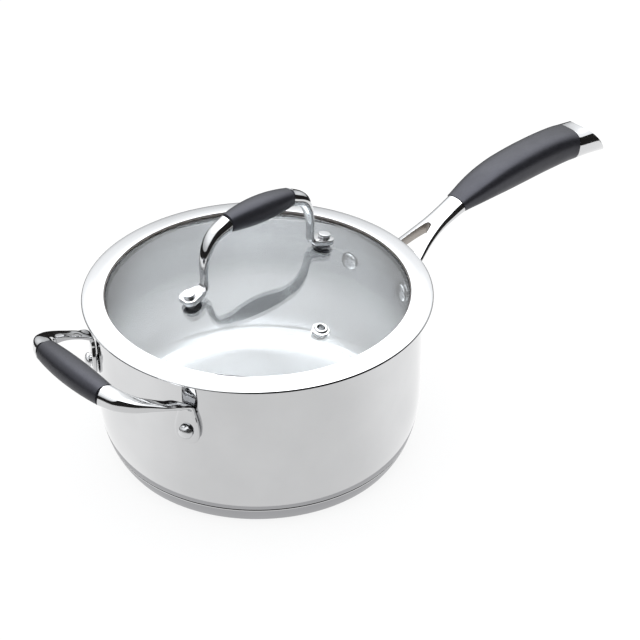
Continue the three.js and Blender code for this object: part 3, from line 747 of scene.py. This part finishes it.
def helper():
    metal = bow_metal("helper_handle_fine", HELPER_HALF, HELPER_GRIP,
                      core_of(HELPER_GRIP, HELPER_CORE, CORE_REACH), [STEEL],
                      around=72, steps=220)
    for name in ("helper_rivet_left", "helper_rivet_right"):
        drill = lathe("drill", [(0, WALL - 2), (HOLE, WALL - 2), (HOLE, WALL + 8), (0, WALL + 8)],
                      [STEEL], 32, on_wall(WALL_AZIMUTHS[name], HELPER_RIVET_HEIGHT))
        boolean(metal, drill, "DIFFERENCE")
    keep(smooth(metal), "pan")
    grip = bow_grip("helper_grip_fine", HELPER_GRIP, HELPER_CORE, CORE_REACH)
    keep(smooth(grip), "pan")


# ---------- lid ----------
APEX, SPHERE, THICK, GLASS_EDGE = 122.5, 274.0, 4.0, 96.9  # height, radius, thickness, edge radius
SHIFT, GRIP_SHIFT = 0.8, 1.1  # the lid handle sits a little towards +X, and its grip further
# Lower and upper face of what lies on or under the glass, from its outer surface
PAD = (0.2, 2.1)
FOOT = (2.4, 5.6)
SEAL = (-5.2, -4.2)
WASHER = (-6.5, -5.5)
RIM_WEB = 98.0  # inner face of the upright web that holds the glass
LEDGE = 100.2  # upper face of the rim's ledge below the glass
LEDGE_INNER = 94.6


def dome(radius, sphere=SPHERE):
    """Height of the glass at a distance from the axis."""
    return APEX - SPHERE + math.sqrt(sphere ** 2 - radius ** 2)


def on_dome(radius, azimuth):
    """Stands a piece on the outside of the glass at a distance from the axis."""
    lean = math.asin(radius / SPHERE)
    return shift(0, 0, APEX - SPHERE) @ turn("Z", azimuth) @ turn("Y", lean) @ shift(0, 0, SPHERE)


LID_RIVET_RADIUS = 51.2
FEET = {
    "left": on_dome(LID_RIVET_RADIUS - SHIFT, math.pi),
    "right": on_dome(LID_RIVET_RADIUS + SHIFT, 0.0),
}
VENT = on_dome(67.5, RAD(-96))
VENT_HOLE = 3.5


def lid_glass():
    """The glass disc; its two faces take the exact normals of their spheres."""
    aligned = 0.97  # least cosine between a face and the sphere for it to count as dome
    radii = list(np.linspace(0, 93, 26)) + [95, 96.2]
    inner = SPHERE - THICK
    outline = [(r, dome(r, inner)) for r in radii]
    outline += [(GLASS_EDGE - 0.1, dome(96.8, inner) + 0.3), (GLASS_EDGE, dome(96.8, inner) + 1.2),
                (GLASS_EDGE, dome(96.8) - 0.8), (GLASS_EDGE - 0.2, dome(96.8) - 0.1)]
    outline += [(r, dome(r)) for r in radii[::-1]]
    obj = lathe("lid_glass_fine", outline, [GLASS], ROUND)
    drill = lathe("drill", [(0, -12), (VENT_HOLE, -12), (VENT_HOLE, 8), (0, 8)], [GLASS], 40, VENT)
    boolean(obj, drill, "DIFFERENCE")
    smooth(obj, angle=40)
    centre = Vector((0, 0, (APEX - SPHERE) * MM))
    mesh = obj.data
    normals = [Vector(n.vector) for n in mesh.corner_normals]
    for face in mesh.polygons:
        for loop in face.loop_indices:
            radial = (mesh.vertices[mesh.loops[loop].vertex_index].co - centre).normalized()
            side = face.normal.dot(radial)
            if abs(side) > aligned:
                normals[loop] = radial if side > 0 else -radial
    mesh.normals_split_custom_set(normals)
    keep(obj, "lid")


def lid_rim():
    """The steel band: ledge, skirt, flange, rolled edge, and a low crown over the glass's edge."""
    edge, roll_radius, skirt, flange = 107.0, 1.5, 98.9, 104.5
    roll = [(edge - roll_radius * (1 - math.cos(a)), flange + GAP + roll_radius * math.sin(a))
            for a in np.linspace(0, RAD(70), 9)]
    inside = [(93.3, 107.85), (93.3, 107.25), (RIM_WEB, 106.6), (RIM_WEB, LEDGE),
              (LEDGE_INNER, LEDGE)]
    outline = [(LEDGE_INNER, 99.5), (97.7, 99.5), (RIM_WEB, 98.2), (skirt, 98.2),
               (skirt, flange), (edge - 0.3, flange)]
    corners = [0.3, 0.5, 0.4, 0.4, 0.5, 0.25] + [0] * len(roll)
    corners += [1.5, 2, 0.28, 0.28, 0.3, 0.3, 0.3]
    outline += roll + [(103.8, 106.72), (99.0, 107.45)] + inside
    obj = lathe("lid_rim_fine", rounded_corners(outline, corners, 4), [BRIGHT], ROUND)
    keep(smooth(obj, angle=50), "lid")


def lid_gasket():
    slack = 0.12
    lip, bore, outer = 92.8, GLASS_EDGE + slack, RIM_WEB - slack
    inner = SPHERE - THICK
    outline = [(LEDGE_INNER, LEDGE + slack), (outer, LEDGE + slack), (outer, 106.48),
               (lip, 107.13), (lip - 0.15, 106.9), (lip, dome(lip) + slack),
               (bore, dome(bore) + slack), (bore, dome(bore, inner) - slack),
               (LEDGE_INNER, dome(LEDGE_INNER, inner) - slack)]
    gasket = lathe("lid_gasket_fine", outline, [BAND_SILICONE], ROUND)
    keep(smooth(gasket), "lid")


# The lid's bow is made along Y like the helper's, then turned onto X.
LID_GRIP = grip_stations(
    end=(0, 23.6, 161.7), middle=(0, 0, 162.3), out=(0, 0, 1), ends=5.5, swell=2.5, square=2.4,
    slide=SHIFT + GRIP_SHIFT)
LID_HALF = [
    ((0, 45.3, 123.6), (0, 0.19, 1), 3.8, 1.6, 5, 0, SHIFT),
    ((0, 42.4, 124.3), (0, 0.3, 1), 3.8, 1.6, 4, 0, SHIFT),
    ((0, 41.1, 126.3), (0, 1, 0.5), 3.3, 1.6, 3, 0, SHIFT),
    ((0, 41.0, 132), (0, 1, 0), 3.1, 1.75, 2.4, 0, SHIFT),
    ((0, 40.6, 140.5), (0, 1, 0.1), 3.5, 2.3, 2.2, 0, SHIFT),
    ((0, 38.4, 149.6), (0, 1, 0.5), 4.2, 3.1, 2.2, 0, SHIFT),
    ((0, 33.2, 156.9), (0, 1, 1.4), 4.9, 4.4, 2.3, 0, SHIFT + GRIP_SHIFT * 0.5),
    ((0, 23.0, 161.7), (0, 0.1, 1), 5.4, 5.4, 2.4, 0, SHIFT + GRIP_SHIFT),
]


def turned_onto_x(obj):
    obj.data.transform(Matrix.Rotation(-math.pi / 2, 4, "Z"))
    return obj


def foot_outline(inset, rounding):
    """Plan of a lid foot with its rivet at the origin and its tip towards +X."""
    half_width = 6.6
    plan = [(-9.4, 4.0), (1.4, half_width), (5.2, 4.2), (5.2, -4.2), (1.4, -half_width),
            (-9.4, -4.0)]
    shrink = 1 - inset / half_width
    corners = [0.1, rounding, rounding, rounding, rounding, 0.1]
    return rounded_corners_flat([(x * shrink, y * shrink) for x, y in plan], corners)


def drilled(obj, radius, place):
    half = 12  # far enough to go right through
    drill = lathe("drill", [(0, -half), (radius, -half), (radius, half), (0, half)], [STEEL], 40,
                  place)
    return boolean(obj, drill, "DIFFERENCE")


def lid_handle():
    bow = bow_metal("lid_handle_fine", LID_HALF, LID_GRIP,
                    core_of(LID_GRIP, LID_CORE, CORE_REACH), [STEEL], around=64, steps=180)
    turned_onto_x(bow)
    for place in FEET.values():
        plate = prism("plate", foot_outline(0, 1.6), FOOT[0], FOOT[1], [STEEL], place)
        boolean(bow, soften(plate, width=0.5, angle=50), "UNION")
        drilled(bow, HOLE, place)
    keep(smooth(bow), "lid")
    grip = turned_onto_x(bow_grip("lid_grip_fine", LID_GRIP, LID_CORE, CORE_REACH))
    keep(smooth(grip), "lid")


def ring(name, bore, outer, low, high, look, place, corner=0.25):
    """A flat ring with rounded edges, under the glass."""
    outline = rounded_corners([(bore, low), (outer, low), (outer, high), (bore, high)], corner, 4)
    return smooth(lathe(name, outline, [look], SMALL_ROUND, place))


def lid_fastening(side, place):
    """What holds one foot of the handle: pad, seal, washer and rivet."""
    pad = prism(f"lid_foot_pad_{side}_fine", foot_outline(1.8, 1.3), PAD[0], PAD[1],
                [BLACK_SILICONE], place)
    soften(drilled(pad, HOLE, place), width=0.3, angle=50)
    keep(smooth(pad), "lid")
    keep(ring(f"lid_seal_{side}_fine", HOLE, 6.0, *SEAL, BLACK_SILICONE, place), "lid")
    keep(ring(f"lid_washer_{side}_fine", HOLE, 5.6, *WASHER, SATIN, place), "lid")
    head, tail = FOOT[1] + GAP, WASHER[0] - GAP  # flat backs of the two heads
    head_radius, tail_radius = 3.8, 3.9
    outline = [(0, tail - 1.5), (2.7, tail - 1.5), (tail_radius, tail - 0.6), (tail_radius, tail),
               (SHANK, tail), (SHANK, head), (head_radius, head), (head_radius, head + 2.1),
               (3.3, head + 2.15), (0, head + 2.2)]
    corners = [0, 0.6, 0.3, 0.1, 0.1, 0.1, 0.1, 0.45, 0.3, 0]
    rivet = lathe(f"lid_rivet_{side}_fine", rounded_corners(outline, corners, 5), [RIVET],
                  SMALL_ROUND, place)
    keep(smooth(rivet), "lid")


def vent():
    """A rolled eyelet through the glass, and the collar that holds it from below."""
    bore, neck, flange, collar = 2.2, 3.2, 5.3, 3.9
    below = -THICK - 1.9
    outline = [(bore, below), (neck, below), (neck, 0.2), (flange, 0.2), (flange, 0.9), (4.2, 1.15),
               (collar, 1.4), (collar, 2.1), (3.3, 2.5), (2.7, 2.5), (bore, 2.0)]
    corners = [0.2, 0.3, 0.2, 0.15, 0.3, 0.4, 0.3, 0.5, 0.3, 0.3, 0.5]
    eyelet = lathe("vent_eyelet_fine", rounded_corners(outline, corners, 5), [BRIGHT], 64, VENT)
    keep(smooth(eyelet, angle=50), "lid")
    keep(ring("vent_collar_fine", VENT_HOLE, 5.5, *SEAL, SATIN, VENT), "lid")


pan_shell()
base_cap()
for rivet_name in WALL_AZIMUTHS:
    wall_rivet(rivet_name)
handle_stem()
handle_grip()
handle_end_cap()
helper()
lid_glass()
lid_rim()
lid_gasket()
lid_handle()
for foot_side, foot_place in FEET.items():
    lid_fastening(foot_side, foot_place)
vent()

# The core is hidden inside the base, so it keeps its CAD shape and only takes its look.
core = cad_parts["base_core"]
core.data.materials.clear()
core.data.materials.append(ALUMINIUM)


# ---------- stage ----------
def glowing(name, colour, strength):
    """A material that only glows."""
    mat, tree, shader = material(name, Base_Color=(0.0, 0.0, 0.0), Roughness=1.0)
    shader.inputs["Specular IOR Level"].default_value = 0.0
    shader.inputs["Emission Color"].default_value = (*colour, 1)
    shader.inputs["Emission Strength"].default_value = strength
    return mat, tree, shader


def smooth_ramp(tree, value, start, end, low, high):
    """value from start to end becomes low to high, with soft ends."""
    node = tree.nodes.new("ShaderNodeMapRange")
    node.interpolation_type = "SMOOTHSTEP"
    for key, number in zip(("From Min", "From Max", "To Min", "To Max"), (start, end, low, high)):
        node.inputs[key].default_value = number
    tree.links.new(value, node.inputs["Value"])
    return node.outputs["Result"]


def reflection_only(obj):
    """Hides a stage piece from everything but reflections."""
    obj.visible_camera = False
    obj.visible_diffuse = False
    obj.visible_transmission = False
    obj.visible_shadow = False
    return obj


def floor():
    size = 14000  # millimetres from the middle to a side
    obj = from_faces("floor", [(-size, -size, 0), (size, -size, 0), (size, size, 0),
                               (-size, size, 0)], [[0, 1, 2, 3]], [])
    # Its glow is just short of white. The light it takes makes up the rest, so a shadow shows.
    mat, _, shader = glowing("pale_floor", (1, 1, 1), 0.82)
    shader.inputs["Base Color"].default_value = (0.14, 0.14, 0.14, 1)
    obj.data.materials.append(mat)


def facing(tree, rise, bearing):
    """Cosine of the angle between a direction and where a point lies from the pan.

    Also gives the unit vector towards the point.
    """
    place = tree.nodes.new("ShaderNodeTexCoord")
    unit = tree.nodes.new("ShaderNodeVectorMath")
    unit.operation = "NORMALIZE"
    tree.links.new(place.outputs["Object"], unit.inputs[0])
    toward = tree.nodes.new("ShaderNodeVectorMath")
    toward.operation = "DOT_PRODUCT"
    toward.inputs[1].default_value = (
        math.cos(rise) * math.cos(bearing), math.cos(rise) * math.sin(bearing), math.sin(rise))
    tree.links.new(unit.outputs[0], toward.inputs[0])
    return toward.outputs["Value"], unit.outputs[0]


def sky():
    """A soft light sky, brightest high up behind the pan and dimmer near the floor."""
    mat, tree, shader = glowing("sky", (0.97, 0.985, 1.0), 1.0)
    toward, unit = facing(tree, RAD(75), RAD(51.6))
    split = tree.nodes.new("ShaderNodeSeparateXYZ")
    tree.links.new(unit, split.inputs[0])
    dim, bright, far, near = 1.5, 4.7, RAD(50), RAD(15)
    glow = smooth_ramp(tree, toward, math.cos(far), math.cos(near), dim, bright)
    share_at_floor, full_from = 0.42, RAD(34)
    share = smooth_ramp(tree, split.outputs["Z"], 0.0, math.sin(full_from), share_at_floor, 1.0)
    product = tree.nodes.new("ShaderNodeMath")
    product.operation = "MULTIPLY"
    tree.links.new(glow, product.inputs[0])
    tree.links.new(share, product.inputs[1])
    tree.links.new(product.outputs[0], shader.inputs["Emission Strength"])
    radius, rows, columns = 5.0, 16, 48
    points = []
    for k in range(rows):
        rise = RAD(90 * k / rows)
        for i in range(columns):
            bearing = 2 * math.pi * i / columns
            points.append((radius * math.cos(rise) * math.cos(bearing),
                           radius * math.cos(rise) * math.sin(bearing),
                           radius * math.sin(rise)))
    faces = [[k * columns + i, k * columns + (i + 1) % columns,
              (k + 1) * columns + (i + 1) % columns, (k + 1) * columns + i]
             for k in range(rows - 1) for i in range(columns)]
    faces.append([(rows - 1) * columns + i for i in range(columns)])
    dome_mesh = reflection_only(from_faces("sky", np.array(points) / MM, faces, [mat]))
    dome_mesh.visible_transmission = True  # the inside of the pan mirrors it through the glass


def ring_wall(name, radius, horizon, mat):
    """A wall round the stage, seen only in reflections.

    Its horizon is a row of (azimuth, height), both in degrees seen from the middle of the floor.
    """
    steps, above_floor = 96, 0.001
    azimuths, heights = zip(*horizon)
    points = []
    for k in range(steps):
        azimuth = -180 + 360 * k / steps
        x, y = math.cos(RAD(azimuth)), math.sin(RAD(azimuth))
        for rise in (0.0, float(np.interp(azimuth, azimuths, heights))):
            points.append((radius * x, radius * y, above_floor + radius * math.tan(RAD(rise))))
    faces = [[2 * k, 2 * k + 1, 2 * ((k + 1) % steps) + 1, 2 * ((k + 1) % steps)]
             for k in range(steps)]
    reflection_only(from_faces(name, np.array(points) / MM, faces, [mat]))


def flat_ring(name, inner, outer, height, mat):
    """A level ring between two outlines, seen only in reflections."""
    steps = 96
    points = []
    for k in range(steps):
        a = 2 * math.pi * k / steps
        for x, y, wide, deep in (inner, outer):
            points.append((x + wide * math.cos(a), y + deep * math.sin(a), height))
    faces = [[2 * k, 2 * k + 1, 2 * ((k + 1) % steps) + 1, 2 * ((k + 1) % steps)]
             for k in range(steps)]
    reflection_only(from_faces(name, np.array(points) / MM, faces, [mat]))


# Outlines on the floor: centre x, centre y, radius x, radius y
SHADE_INNER = (0, 0, 0.080, 0.080)
SHADE_EDGE = (0, 0, 0.1025, 0.1025)
TABLE_EDGE = (0.02, 0, 0.44, 0.36)
GROUND_EDGE = (0, 0, 6, 6)


def table_glow():
    """The table top as reflections see it: a glow with painted shade, a little darker towards the
    front.
    """
    mat, tree, shader = glowing("table_glow", (1, 1, 1), 1.0)
    toward, _ = facing(tree, 0, RAD(-122))
    # Painted shade: the glow dims towards the front of the table.
    at_sides, at_front, far, near = 1.10, 0.89, RAD(75), RAD(5)
    fade = smooth_ramp(tree, toward, math.cos(far), math.cos(near), at_sides, at_front)
    tree.links.new(fade, shader.inputs["Emission Strength"])
    flat_ring("table_glow", SHADE_EDGE, TABLE_EDGE, 0.0003, mat)


def room():
    """The dark room round the white table, and the shade under the pan's edge."""
    dark, _, _ = glowing("dark_room", (1.0, 0.94, 0.91), 0.02)
    shade, _, _ = glowing("shade", (0.98, 0.98, 1.0), 0.55)
    flat_ring("dark_ground", TABLE_EDGE, GROUND_EDGE, 0.0005, dark)
    flat_ring("contact_shade", SHADE_INNER, SHADE_EDGE, 0.0004, shade)
    horizon = ((-180, 3), (-165, 6), (-150, 22), (-132, 50), (-118, 60), (-90, 60), (-55, 52),
               (-40, 42), (-25, 20), (-10, 2), (165, 1), (180, 5))
    ring_wall("dark_screen", 2.3, horizon, dark)


floor()
sky()
table_glow()
room()

world = bpy.data.worlds.new("studio")
world.use_nodes = True
background = world.node_tree.nodes["Background"]
background.inputs["Color"].default_value = (0.98, 0.99, 1.0, 1)
background.inputs["Strength"].default_value = 1.7
bpy.context.scene.world = world
bpy.context.scene.view_settings.view_transform = "Standard"

# From the front left, about 34 degrees above level.
camera_data = bpy.data.cameras.new("camera")
camera_data.lens = 112.5
camera_data.sensor_width = 36
camera_data.clip_end = 50
camera = bpy.data.objects.new("camera", camera_data)
camera.location = (-0.6352, -0.8020, 0.7626)
camera.rotation_euler = (RAD(56.433), 0, RAD(-40.5))
bpy.context.scene.collection.objects.link(camera)
bpy.context.scene.camera = camera
